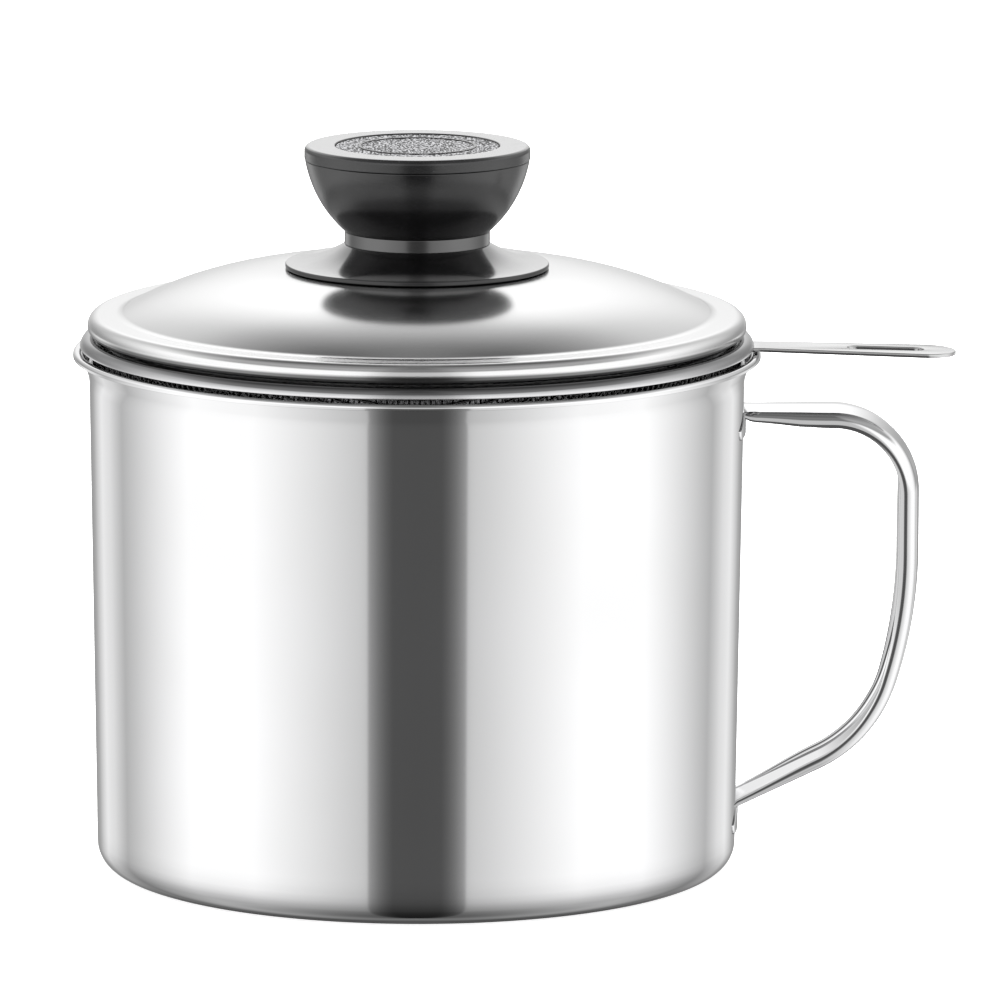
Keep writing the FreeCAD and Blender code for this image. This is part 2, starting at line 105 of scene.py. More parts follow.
def cutEdge(centre, along, half, edge, steps=4):
    # a sheet's cut edge from its left face round to its right face, both corners rounded
    points = []
    for side, first in ((1, math.pi / 2), (-1, 0)):
        corner = centre + leftOf(along) * (half - edge) * side
        for k in range(1, steps + 1):
            angle = first - math.pi / 2 * (k / steps if side > 0 else (k - 1) / steps)
            way = along * math.cos(angle) + leftOf(along) * math.sin(angle)
            points.append((corner + way * edge, way))
    return points


def sheetOutline(corners, bends, thickness, steps=8, edge=0.12):
    # both faces of a bent sheet whose middle follows the path, and its cut edges
    half = thickness / 2
    path = roundedPath(corners, bends, steps)
    onAxis = abs(corners[0][0]) < 1e-6
    end, last = path[-1]
    path[-1] = (end - last * edge, last)
    if not onAxis:
        path[0] = (path[0][0] + path[0][1] * edge, path[0][1])
    outline = [(p + leftOf(d) * half, leftOf(d)) for p, d in path]
    outline += cutEdge(path[-1][0], last, half, edge)
    outline += [(p - leftOf(d) * half, -leftOf(d)) for p, d in reversed(path)]
    if not onAxis:
        outline += cutEdge(path[0][0], -path[0][1], half, edge)
    return outline, not onAxis


def solidOutline(corners, bends, steps=6):
    # section of a solid of revolution; it runs axis to axis, or round when it stays off the axis
    onAxis = abs(corners[0][0]) < 1e-6
    ring = list(corners) if onAxis else [corners[-1]] + list(corners) + [corners[0]]
    path = roundedPath(ring, bends if not onAxis else bends[1:-1], steps)
    if not onAxis:
        path = path[1:-1]
    area = sum(p.x * q.y - q.x * p.y for (p, _), (q, _) in zip(path, path[1:] + path[:1]))
    side = -1 if area > 0 else 1
    return [(p, leftOf(d) * side) for p, d in path], not onAxis


def arcPoints(a, b, sag, count=14):
    # points between a and b on the arc that stands to the left of the chord by sag
    a, b = Vector(a), Vector(b)
    chord = b - a
    radius = (chord.length ** 2 / 4 + sag ** 2) / (2 * abs(sag))
    side = math.copysign(1, sag)
    left = leftOf(chord.normalized()) * side
    centre = (a + b) / 2 - left * (radius - abs(sag))
    half = math.asin(chord.length / 2 / radius)
    points = []
    for k in range(1, count):
        angle = half * (2 * k / count - 1)
        points.append(tuple(centre + left * radius * math.cos(angle)
                            + chord.normalized() * radius * math.sin(angle)))
    return points


def bridge(a, b):
    # faces between two closed rings; a ring of a single point lies on the axis
    faces = []
    for k in range(max(len(a), len(b))):
        n = k + 1
        corners = (a[k % len(a)], b[k % len(b)], b[n % len(b)], a[n % len(a)])
        faces.append(tuple(dict.fromkeys(corners)))
    return faces


def lathe(name, section, turns=288):
    # the section turned about the pot's axis, with exact normals so that reflections run clean
    outline, closed = section
    verts, normals, rings = [], [], []
    for point, normal in outline:
        if point.x < 1e-6:
            rings.append([len(verts)])
            verts.append((0, 0, point.y * mm))
            normals.append((0, 0, math.copysign(1, normal.y)))
            continue
        rings.append(list(range(len(verts), len(verts) + turns)))
        for k in range(turns):
            c, s = math.cos(2 * math.pi * k / turns), math.sin(2 * math.pi * k / turns)
            verts.append((point.x * c * mm, point.x * s * mm, point.y * mm))
            normals.append((normal.x * c, normal.x * s, normal.y))
    pairs = list(zip(rings, rings[1:])) + ([(rings[-1], rings[0])] if closed else [])
    faces = [face for a, b in pairs for face in bridge(a, b)]
    return meshFrom(name, verts, faces, normals)


def meshFrom(name, verts, faces, normals=None):
    # each face is turned to the side that its corners' normals point to
    if normals:
        for k, face in enumerate(faces):
            a, b, c = (Vector(verts[v]) for v in (face[0], face[1], face[-1]))
            facing = sum((Vector(normals[v]) for v in face), Vector())
            if (b - a).cross(c - a).dot(facing) < 0:
                faces[k] = tuple(reversed(face))
    mesh = bpy.data.meshes.new(name)
    mesh.from_pydata(verts, [], faces)
    mesh.polygons.foreach_set("use_smooth", [True] * len(mesh.polygons))
    if normals:
        mesh.normals_split_custom_set_from_vertices(normals)
    mesh.update()
    return mesh


def newObject(name, data):
    thing = bpy.data.objects.new(name, data)
    bpy.context.collection.objects.link(thing)
    return thing


def evaluatedMesh(name, helper):
    # the finished form of a helper object as a plain mesh; the helper goes
    mesh = bpy.data.meshes.new_from_object(helper.evaluated_get(bpy.context.evaluated_depsgraph_get()))
    bpy.data.objects.remove(helper)
    mesh.name = name
    return mesh


def addPiece(name, mesh, material, body, node, slotName):
    # a finished piece takes the place of its CAD node and moves with that node's body
    piece = newObject(name, mesh)
    mesh.materials.clear()
    mesh.materials.append(material)
    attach(piece, body)
    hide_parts(node)
    return piece


def turnPiece(name, section, *place, turns=288):
    return addPiece(name, lathe(name, section, turns), *place)


def buffTops(piece, steepest=0.75):
    # faces that look up are buffed, the rest of a phenolic piece stays as moulded
    piece.data.materials.append(buffedPhenolic)
    for face in piece.data.polygons:
        face.material_index = 1 if face.normal.z > steepest else 0


def turnedCoordinates():
    # (angle, distance from the axis, height) of a point, for marks left by work on a lathe
    group = bpy.data.node_groups.new("turnedCoordinates", "ShaderNodeTree")
    group.interface.new_socket("Round", in_out="OUTPUT", socket_type="NodeSocketVector")
    place = addNode(group, "ShaderNodeTexCoord").outputs["Object"]
    x, y, z = addNode(group, "ShaderNodeSeparateXYZ", None, {0: place}).outputs
    angle = addNode(group, "ShaderNodeMath", {"operation": "ARCTAN2"}, {0: y, 1: x})
    flat = addNode(group, "ShaderNodeCombineXYZ", None, {"X": x, "Y": y})
    radius = addNode(group, "ShaderNodeVectorMath", {"operation": "LENGTH"}, {0: flat}).outputs["Value"]
    together = addNode(group, "ShaderNodeCombineXYZ", None, {"X": angle, "Y": radius, "Z": z})
    addNode(group, "NodeGroupOutput", None, {"Round": together})
    return group


roundSpace = turnedCoordinates()


def newMaterial(name):
    material = bpy.data.materials.new(name)
    material.use_nodes = True
    material.node_tree.nodes.clear()
    return material, material.node_tree


def workedSurface(tree, look, wear, height):
    # roughness that swings with the wear, whose noise stays between 0.3 and 0.7, and fine relief
    mean, spread = look["roughness"], look["spread"]
    rough = addNode(tree, "ShaderNodeMapRange", None,
                    {"Value": wear, "From Min": 0.3, "From Max": 0.7,
                     "To Min": mean - spread, "To Max": mean + spread})
    relief = addNode(tree, "ShaderNodeBump", None,
                     {"Height": height, "Strength": look["relief"], "Distance": look["depth"]})
    return rough, relief


def setStops(ramp, steps, low, high):
    # levels from low to high; the ramp holds shares of the brightest, which is given back
    top = max(level for _, level in steps)
    stops = ramp.color_ramp.elements
    stops.remove(stops[-1])
    for k, (place, level) in enumerate(steps):
        stop = stops[0] if k == 0 else stops.new(1)
        stop.position = (place - low) / (high - low)
        stop.color = (level / top, level / top, level / top, 1)
    return top


def steelMaterial(name, look):
    # stainless steel worked on a lathe: fine rings in the roughness and the relief
    material, tree = newMaterial(name)
    space = addNode(tree, "ShaderNodeGroup", {"node_tree": roundSpace})
    rings = addNode(tree, "ShaderNodeMapping", None, {"Vector": space, "Scale": look["rings"]})
    lines = addNode(tree, "ShaderNodeTexNoise", None,
                    {"Vector": rings, "Scale": 1, "Detail": 3, "Roughness": 0.6})
    place = addNode(tree, "ShaderNodeTexCoord").outputs["Object"]
    cloud = addNode(tree, "ShaderNodeTexNoise", None, {"Vector": place, "Scale": look["cloudScale"]})
    wear = addNode(tree, "ShaderNodeMix", {"data_type": "FLOAT"}, {0: 0.5, 2: lines, 3: cloud})
    tone = addNode(tree, "ShaderNodeMix", {"data_type": "RGBA"},
                   {0: cloud, 6: linearColour(look["dark"]), 7: linearColour(look["light"])})
    colour = tone.outputs[2]
    if "shade" in look:
        # painted shade, darker at a fold or beside another piece: levels against the height in mm
        low, high = look["shade"][0][0], look["shade"][-1][0]
        height = addNode(tree, "ShaderNodeSeparateXYZ", None, {0: space}).outputs["Z"]
        share = addNode(tree, "ShaderNodeMapRange", None,
                        {"Value": height, "From Min": low * mm, "From Max": high * mm})
        ramp = addNode(tree, "ShaderNodeValToRGB", None, {0: share})
        top = setStops(ramp, look["shade"], low, high)
        level = addNode(tree, "ShaderNodeMath", {"operation": "MULTIPLY"}, {0: ramp, 1: top})
        colour = addNode(tree, "ShaderNodeVectorMath", {"operation": "SCALE"}, {0: colour, "Scale": level})
    rough, relief = workedSurface(tree, look, wear, lines)
    shader = addNode(tree, "ShaderNodeBsdfPrincipled", None,
                     {"Metallic": 1, "Base Color": colour, "Roughness": rough, "Normal": relief})
    addNode(tree, "ShaderNodeOutputMaterial", None, {"Surface": shader})
    return material


# drawn and mirror-polished stainless steel: near-mirror, reflections only just softened
polishedLook = {
    "dark": "#cccccc", "light": "#d4d4d5", "roughness": 0.06, "spread": 0.012, "cloudScale": 25,
    "rings": (3, 1, 900), "relief": 0.04, "depth": 0.00002,
}
# painted shade on the pot's foot bend: darker than its wall towards the bottom, standing in for the shadowed
# floor that it reflects
potLook = dict(polishedLook, shade=[(0.5, 0.6), (1.5, 0.53), (2.5, 0.45), (3.3, 0.42), (4.3, 0.54),
                                    (5.4, 0.75), (6.6, 0.89), (8.5, 0.97), (10, 1.0)])
# the lid is spun and satin finished: fine rings round the knob, broad soft highlights
satinLook = {
    "dark": "#cbcbcb", "light": "#d3d3d3", "roughness": 0.17, "spread": 0.02, "cloudScale": 18,
    "rings": (4, 1400, 1400), "relief": 0.05, "depth": 0.00001,
}
# painted shade on its rolled hem: darker where it turns in under the edge above the strainer's lip
lidLook = dict(satinLook, shade=[(114.6, 1.2), (115.1, 0.8), (115.6, 0.28), (116.25, 0.26), (116.7, 1.0)])
# rolled lip and band of the strainer: half bright, with painted shade darkening the lip's crown where it
# lies under the lid's hem
lipLook = dict(satinLook, roughness=0.15, dark="#bababb", light="#c6c6c7",
               shade=[(112.4, 1.0), (113.0, 0.62), (113.6, 0.42), (114.2, 0.35)])
handleLook = dict(polishedLook, roughness=0.08, rings=(40, 400, 400), relief=0.04)
tabLook = dict(satinLook, roughness=0.14, rings=(60, 500, 500), dark="#adadad", light="#b9b9b9")
collarLook = dict(satinLook, roughness=0.18, dark="#565656", light="#636363")
# the woven wire's colour is darker than the sheet steel: painted shade, for the wires that lie in shade in
# the gap under the lid
wireLook = dict(satinLook, roughness=0.32, dark="#6c6c6d", light="#7a7a7b", cloudScale=60)
screwLook = dict(satinLook, roughness=0.3, dark="#a9a9ab", light="#b7b7b9")

steel = {
    "pot": steelMaterial("stainlessSteelPolished", potLook),
    "handle": steelMaterial("stainlessSteelPressedBright", handleLook),
    "lid": steelMaterial("stainlessSteelSpunSatin", lidLook),
    "lip": steelMaterial("stainlessSteelRolledLip", lipLook),
    "tab": steelMaterial("stainlessSteelStampedTab", tabLook),
    "collar": steelMaterial("stainlessSteelDullCollar", collarLook),
    "wire": steelMaterial("stainlessSteelWovenWire", wireLook),
    "screw": steelMaterial("steelZincPlated", screwLook),
}


def phenolicMaterial(name, look):
    # moulded black phenolic: deep black with a waxy skin, faint mould texture and dust-fine specks
    material, tree = newMaterial(name)
    place = addNode(tree, "ShaderNodeTexCoord").outputs["Object"]
    grain = addNode(tree, "ShaderNodeTexNoise", None,
                    {"Vector": place, "Scale": look["grainScale"], "Detail": 3})
    drawn = addNode(tree, "ShaderNodeMapping", None, {"Vector": place, "Scale": look["draw"]})
    specks = addNode(tree, "ShaderNodeTexNoise", None,
                     {"Vector": drawn, "Scale": look["speckScale"], "Detail": 0})
    fleck = addNode(tree, "ShaderNodeMapRange", None,
                    {"Value": specks, "From Min": look["speckFrom"], "From Max": look["speckTo"]})
    space = addNode(tree, "ShaderNodeGroup", {"node_tree": roundSpace})
    radius = addNode(tree, "ShaderNodeSeparateXYZ", None, {0: space}).outputs["Y"]
    middle, half = look["smoothRing"]
    ring = addNode(tree, "ShaderNodeMath", {"operation": "COMPARE"},
                   {0: radius, 1: middle * mm, 2: half * mm})
    beside = addNode(tree, "ShaderNodeMath", {"operation": "SUBTRACT"}, {0: 1.0, 1: ring})
    marks = addNode(tree, "ShaderNodeMath", {"operation": "MULTIPLY"}, {0: fleck, 1: beside})
    height = addNode(tree, "ShaderNodeMath", {"operation": "MULTIPLY"}, {0: grain, 1: beside})
    tone = addNode(tree, "ShaderNodeMix", {"data_type": "RGBA"},
                   {0: marks, 6: linearColour(look["colour"]), 7: linearColour(look["speck"])})
    rough, relief = workedSurface(tree, look, grain, height)
    finish = addNode(tree, "ShaderNodeMix", {"data_type": "FLOAT"},
                     {0: ring, 2: rough, 3: look["ringRoughness"]})
    shader = addNode(tree, "ShaderNodeBsdfPrincipled", None,
                     {"Base Color": tone.outputs[2], "Roughness": finish, "Normal": relief,
                      "IOR": look["ior"], "Coat Weight": look["skin"],
                      "Coat Roughness": look["skinRoughness"], "Coat IOR": look["skinIor"]})
    addNode(tree, "ShaderNodeOutputMaterial", None, {"Surface": shader})
    return material


knobLook = {
    "colour": "#070708", "speck": "#1d1d1f", "speckScale": 2600, "speckFrom": 0.74, "speckTo": 0.8,
    "draw": (1, 1, 1), "grainScale": 500, "roughness": 0.22, "spread": 0.03, "relief": 0.02,
    "depth": 0.00003, "ior": 1.6, "skin": 0.0, "skinRoughness": 0.1, "skinIor": 1.7,
    "smoothRing": (0, 0), "ringRoughness": 0.12,
}
# the tops of cap and flange are buffed: a glossy skin over the same phenolic
buffedLook = dict(knobLook, roughness=0.16, ior=1.5, skin=0.9)
# etched grain of the disc, drawn coarser and longer so that it shows; the raised ring stays smooth
discLook = dict(
    knobLook, colour="#121213", speck="#929294", speckScale=2300, speckFrom=0.5, speckTo=0.56,
    draw=(1, 0.45, 1), grainScale=1500, roughness=0.5, spread=0.1, relief=1.0, depth=0.0004,
    ior=1.45, smoothRing=(12.2, 0.4),
)
blackPhenolic = phenolicMaterial("phenolicMouldedBlack", knobLook)
buffedPhenolic = phenolicMaterial("phenolicBuffedBlack", buffedLook)
grainyPhenolic = phenolicMaterial("phenolicEtchedGrain", discLook)


def brassMaterial():
    # turned brass insert: warm yellow with tool rings
    material, tree = newMaterial("brassTurned")
    space = addNode(tree, "ShaderNodeGroup", {"node_tree": roundSpace})
    rings = addNode(tree, "ShaderNodeMapping", None, {"Vector": space, "Scale": (2, 1500, 1500)})
    lines = addNode(tree, "ShaderNodeTexNoise", None, {"Vector": rings, "Scale": 1})
    tone = addNode(tree, "ShaderNodeMix", {"data_type": "RGBA"},
                   {0: lines, 6: linearColour("#b08a3c"), 7: linearColour("#c7a252")})
    shader = addNode(tree, "ShaderNodeBsdfPrincipled", None,
                     {"Metallic": 1, "Base Color": tone.outputs[2], "Roughness": 0.3})
    addNode(tree, "ShaderNodeOutputMaterial", None, {"Surface": shader})
    return material


print("materials made")


pot = {
    "sheet": 0.6, "mouthFlare": 3.45, "wallDraft": 1.55, "neckDrop": 5.45, "baseCorner": 5.5,
    "beadInset": 15.0, "beadFlat": 3.0, "beadRun": 1.5, "beadRise": 0.9, "beadBend": 0.8,
    "flareBend": 9.0, "rimFlat": 1.4, "rimDrop": 1.0, "rimInnerBend": 0.9, "rimOuterBend": 0.5,
    "turns": 320,
}
rimRadius, potHeight = reachOf("pot_body"), highOf("pot_body")
neckRadius = rimRadius - pot["mouthFlare"]
neckHeight = potHeight - pot["neckDrop"]
baseRadius = neckRadius - pot["wallDraft"]


def wallRadius(height):
    return baseRadius + pot["wallDraft"] * height / neckHeight


def makePot():
    half = pot["sheet"] / 2
    bead = baseRadius - pot["beadInset"]
    reach = pot["beadFlat"] / 2 + pot["beadRun"]
    side, level = rimRadius - half, potHeight - half
    corners = [
        (0, half), (bead - reach, half), (bead - pot["beadFlat"] / 2, half + pot["beadRise"]),
        (bead + pot["beadFlat"] / 2, half + pot["beadRise"]), (bead + reach, half),
        (baseRadius - half, half), (neckRadius - half, neckHeight),
        (side - pot["rimFlat"], level), (side, level), (side, level - pot["rimDrop"]),
    ]
    bends = [pot["beadBend"]] * 4 + [pot["baseCorner"] - half, pot["flareBend"]]
    bends += [pot["rimInnerBend"], pot["rimOuterBend"]]
    section = sheetOutline(corners, bends, pot["sheet"], steps=10)
    turnPiece("potBody", section, steel["pot"], "pot", "pot_body", "pot_steel", turns=pot["turns"])


makePot()
print("pot made")


handle = {
    "sheet": 1.2, "drop": 11.45, "gripOut": 37.35, "foot": 12.7, "kneeOut": 30.9, "kneeRise": 14.9,
    "leanRise": 27.5, "upperBend": 18.5, "leanBend": 95.0, "kneeBend": 31.0, "bendSteps": 28,
    # width and depth of the channel: at the wall, upper bend, lean, knee and the wall again
    "sizes": [(15.5, 2.8), (19.0, 3.8), (19.0, 4.5), (18.0, 3.2), (15.5, 2.3)],
    "crown": 0.9, "gripBend": 1.9, "bendShare": 1.05, "crownBend": 14.0, "edge": 0.2,
    "toeIn": 12.0, "leastFlange": 0.1, "spacing": 1.2, "trimDrop": 1.3, "trimSlope": 0.9,
    "footTop": 15.0, "upperFoot": 27.0, "lowerFoot": 23.0, "flank": 0.5, "footHeight": 5.2,
    "brow": 2.2, "round": 2.0, "footSheet": 0.6, "footEdge": 0.3, "footSink": 0.05,
    "footRows": 36, "footColumns": 48,
}


def crownPath():
    top = potHeight - handle["drop"]
    knee = handle["foot"] + handle["kneeRise"]
    corners = [
        (wallRadius(top), top), (neckRadius + handle["gripOut"], top),
        (neckRadius + handle["gripOut"], knee + handle["leanRise"]),
        (baseRadius + handle["kneeOut"], knee), (wallRadius(handle["foot"]), handle["foot"]),
    ]
    bends = [handle["upperBend"], handle["leanBend"], handle["kneeBend"]]
    return roundedPath(corners, bends, handle["bendSteps"])


def channelSection(width, depth):
    # section across the grip: crowned web, rolled shoulders and flanges
    half, thick = (width - handle["sheet"]) / 2, handle["sheet"]
    drop = handle["crown"] + thick / 2
    room = max(depth - drop, handle["leastFlange"])
    edge = min(handle["edge"], room / 2)
    bend = min(handle["gripBend"], (room - edge) * handle["bendShare"])
    mouth = half - room * math.tan(math.radians(handle["toeIn"]))
    corners = [(-mouth, -drop - room), (-half, -drop), (0, -thick / 2), (half, -drop), (mouth, -drop - room)]
    return sheetOutline(corners, [bend, handle["crownBend"], bend], thick, steps=9, edge=edge)[0]


def denser(path, spacing):
    # straight runs are divided, so that the section can grow along them
    dense = [path[0]]
    for (a, u), (b, v) in zip(path, path[1:]):
        count = max(1, math.ceil((b - a).length / spacing))
        for k in range(1, count + 1):
            dense.append((a.lerp(b, k / count), u.lerp(v, k / count).normalized()))
    return dense


def smoothShare(value):
    value = max(0, min(1, value))
    return value * value * (3 - 2 * value)


def runLengths(path):
    lengths = [0]
    for (a, _), (b, _) in zip(path, path[1:]):
        lengths.append(lengths[-1] + (b - a).length)
    return lengths


def sizeAt(length, marks):
    # width and depth between the marks (length, size)
    for (start, low), (end, high) in zip(marks, marks[1:]):
        if length < end + 1e-6:
            share = smoothShare((length - start) / (end - start))
            return [a + (b - a) * share for a, b in zip(low, high)]
    return marks[-1][1]


def makeHandle():
    bare = crownPath()
    run = runLengths(bare)
    steps = handle["bendSteps"]
    # wall, start of the upper bend, start of the lean, end of the knee, wall
    stops = [run[k] for k in (0, 1, steps + 2, 3 * steps + 3, -1)]
    marks = list(zip(stops, handle["sizes"]))
    path = denser(bare, handle["spacing"])
    lengths = runLengths(path)
    total = lengths[-1]
    verts, normals, rings = [], [], []
    for (point, direction), length in zip(path, lengths):
        near = min(length, total - length)
        width, depth = sizeAt(length, marks)
        outline = channelSection(width, min(depth, handle["trimDrop"] + near / handle["trimSlope"]))
        out = leftOf(direction)
        rings.append(list(range(len(verts), len(verts) + len(outline))))
        for spot, normal in outline:
            x, z = point + out * spot.y
            if near < 0.01:   # the ends lie on the round wall
                x = math.sqrt((wallRadius(z) - pot["sheet"] / 2) ** 2 - spot.x ** 2)
            verts.append((x * mm, spot.x * mm, z * mm))
            normals.append((out.x * normal.y, normal.x, out.y * normal.y))
    faces = [face for a, b in zip(rings, rings[1:]) for face in bridge(a, b)]
    for foot, width in ((potHeight - handle["drop"] - handle["crown"], handle["upperFoot"]),
                        (handle["foot"] + handle["crown"], handle["lowerFoot"])):
        addFoot(verts, normals, faces, foot, width)
    mesh = meshFrom("potHandle", verts, faces, normals)
    grip = addPiece("potHandle", mesh, steel["handle"], "pot", "pot_handle", "handle_steel")
    grip.visible_glossy = False   # keeps the wall's reflections plain


def footHalfWidth(down, width):
    # half width of a weld foot at a distance below its top: hollow flanks, then rounded corners
    flankHeight = handle["footHeight"] - handle["brow"]
    top, low = handle["footTop"] / 2, width / 2
    if down < flankHeight:
        share = down / flankHeight
        return top + (low - top) * share - 4 * handle["flank"] * share * (1 - share)
    left = handle["footHeight"] - down
    if left > handle["round"]:
        return low
    return low - handle["round"] + math.sqrt(max(0, handle["round"] ** 2 - (handle["round"] - left) ** 2))


def addFoot(verts, normals, faces, top, width):
    # bell-shaped foot lying on the wall, its edges rounded over
    rows, columns = handle["footRows"], handle["footColumns"]
    grid = []
    for i in range(rows + 1):
        down = handle["footHeight"] * math.sin(math.pi / 2 * i / rows)
        half = footHalfWidth(down, width)
        line = []
        for j in range(columns + 1):
            across = math.sin(math.pi / 2 * (2 * j / columns - 1))
            y = across * half
            z = top - down
            inset = min((1 - abs(across)) * half, handle["footHeight"] - down)
            rise = min(1, inset / handle["footEdge"])
            lift = handle["footSheet"] * math.sqrt(max(0, 1 - (1 - rise) ** 2))
            radius = wallRadius(z) + lift - handle["footSink"]
            line.append(len(verts))
            verts.append((math.sqrt(radius ** 2 - y ** 2) * mm, y * mm, z * mm))
        grid.append(line)
    for i in range(rows + 1):
        for j in range(columns + 1):
            a = Vector(verts[grid[max(0, i - 1)][j]])
            b = Vector(verts[grid[min(rows, i + 1)][j]])
            c = Vector(verts[grid[i][max(0, j - 1)]])
            d = Vector(verts[grid[i][min(columns, j + 1)]])
            normal = (d - c).cross(a - b)
            if normal.length < 1e-12:
                normal = Vector((1, 0, 0))
            normal.normalize()
            normals.append(tuple(normal if normal.x > 0 else -normal))
    for i in range(rows):
        for j in range(columns):
            faces.append((grid[i][j], grid[i][j + 1], grid[i + 1][j + 1], grid[i + 1][j]))


makeHandle()
print("handle made")


strainer = {
    "gap": 0.3, "weldGap": 0.1, "sheet": 0.6, "tabSheet": 0.9, "lipBend": 1.8, "lipLeg": 0.15,
    "upright": 0.3, "legDrop": 6.9, "taper": 0.1013, "taperBend": 4.0,
    "meshRise": 1.0, "basketDrop": 34.9, "basketCorner": 12.0, "basketSag": 2.0, "basketFlat": 22.0,
    "clampSheet": 0.6, "clampDrop": 6.6, "seatDrop": 2.7, "clampBend": 0.6, "meshSheet": 0.5,
    # the real weave has about 1.2 mm between wires; it is drawn a little coarser so that it shows
    "notchReach": 1.0, "pitch": 1.6, "wire": 0.19,
}
lipRadius = reachOf("strainer_rim")
lipCrown = highOf("strainer_rim")
lipOuter = lipRadius - strainer["sheet"] / 2
lipInner = lipOuter - 2 * strainer["lipBend"]
tabLow = potHeight + strainer["gap"]
lipEdge = lipCrown - strainer["sheet"] / 2 - strainer["lipBend"] - strainer["lipLeg"]


def legRadius(height, offset):
    # the tapered basket wall, moved outwards by the offset
    upright = lipEdge - strainer["upright"]
    return lipInner + offset * math.hypot(1, strainer["taper"]) - strainer["taper"] * (upright - height)


def makeStrainerRim():
    level = lipCrown - strainer["sheet"] / 2
    low = potHeight - strainer["legDrop"]
    corners = [
        (legRadius(low, 0), low), (lipInner, lipEdge - strainer["upright"]), (lipInner, level),
        (lipOuter, level), (lipOuter, lipEdge),
    ]
    bends = [strainer["taperBend"], strainer["lipBend"], strainer["lipBend"]]
    mesh = lathe("strainerRim", sheetOutline(corners, bends, strainer["sheet"], steps=12))
    notchTop = tabLow + strainer["tabSheet"] + strainer["weldGap"]
    notchHalf = tab["rootWidth"] / 2 + strainer["gap"]
    for vert in mesh.vertices:
        x, y, z = vert.co / mm
        if x > lipOuter - strainer["notchReach"] and abs(y) < notchHalf and z < notchTop:
            vert.co.z = notchTop * mm   # cut away where the tab passes
    addPiece("strainerRim", mesh, steel["lip"], "strainer", "strainer_rim", "strainer_steel")


def makeClampRing():
    offset = (strainer["sheet"] + strainer["clampSheet"]) / 2 + strainer["meshSheet"]
    offset += 2 * strainer["weldGap"]
    low = potHeight - strainer["clampDrop"]
    seat = potHeight - strainer["seatDrop"]
    reach = reachOf("mesh_clamp_ring")
    corners = [(legRadius(low, offset), low), (legRadius(seat, offset), seat), (reach, seat)]
    section = sheetOutline(corners, [strainer["clampBend"]], strainer["clampSheet"])
    turnPiece("meshClampRing", section, steel["lip"], "strainer", "mesh_clamp_ring", "strainer_steel")


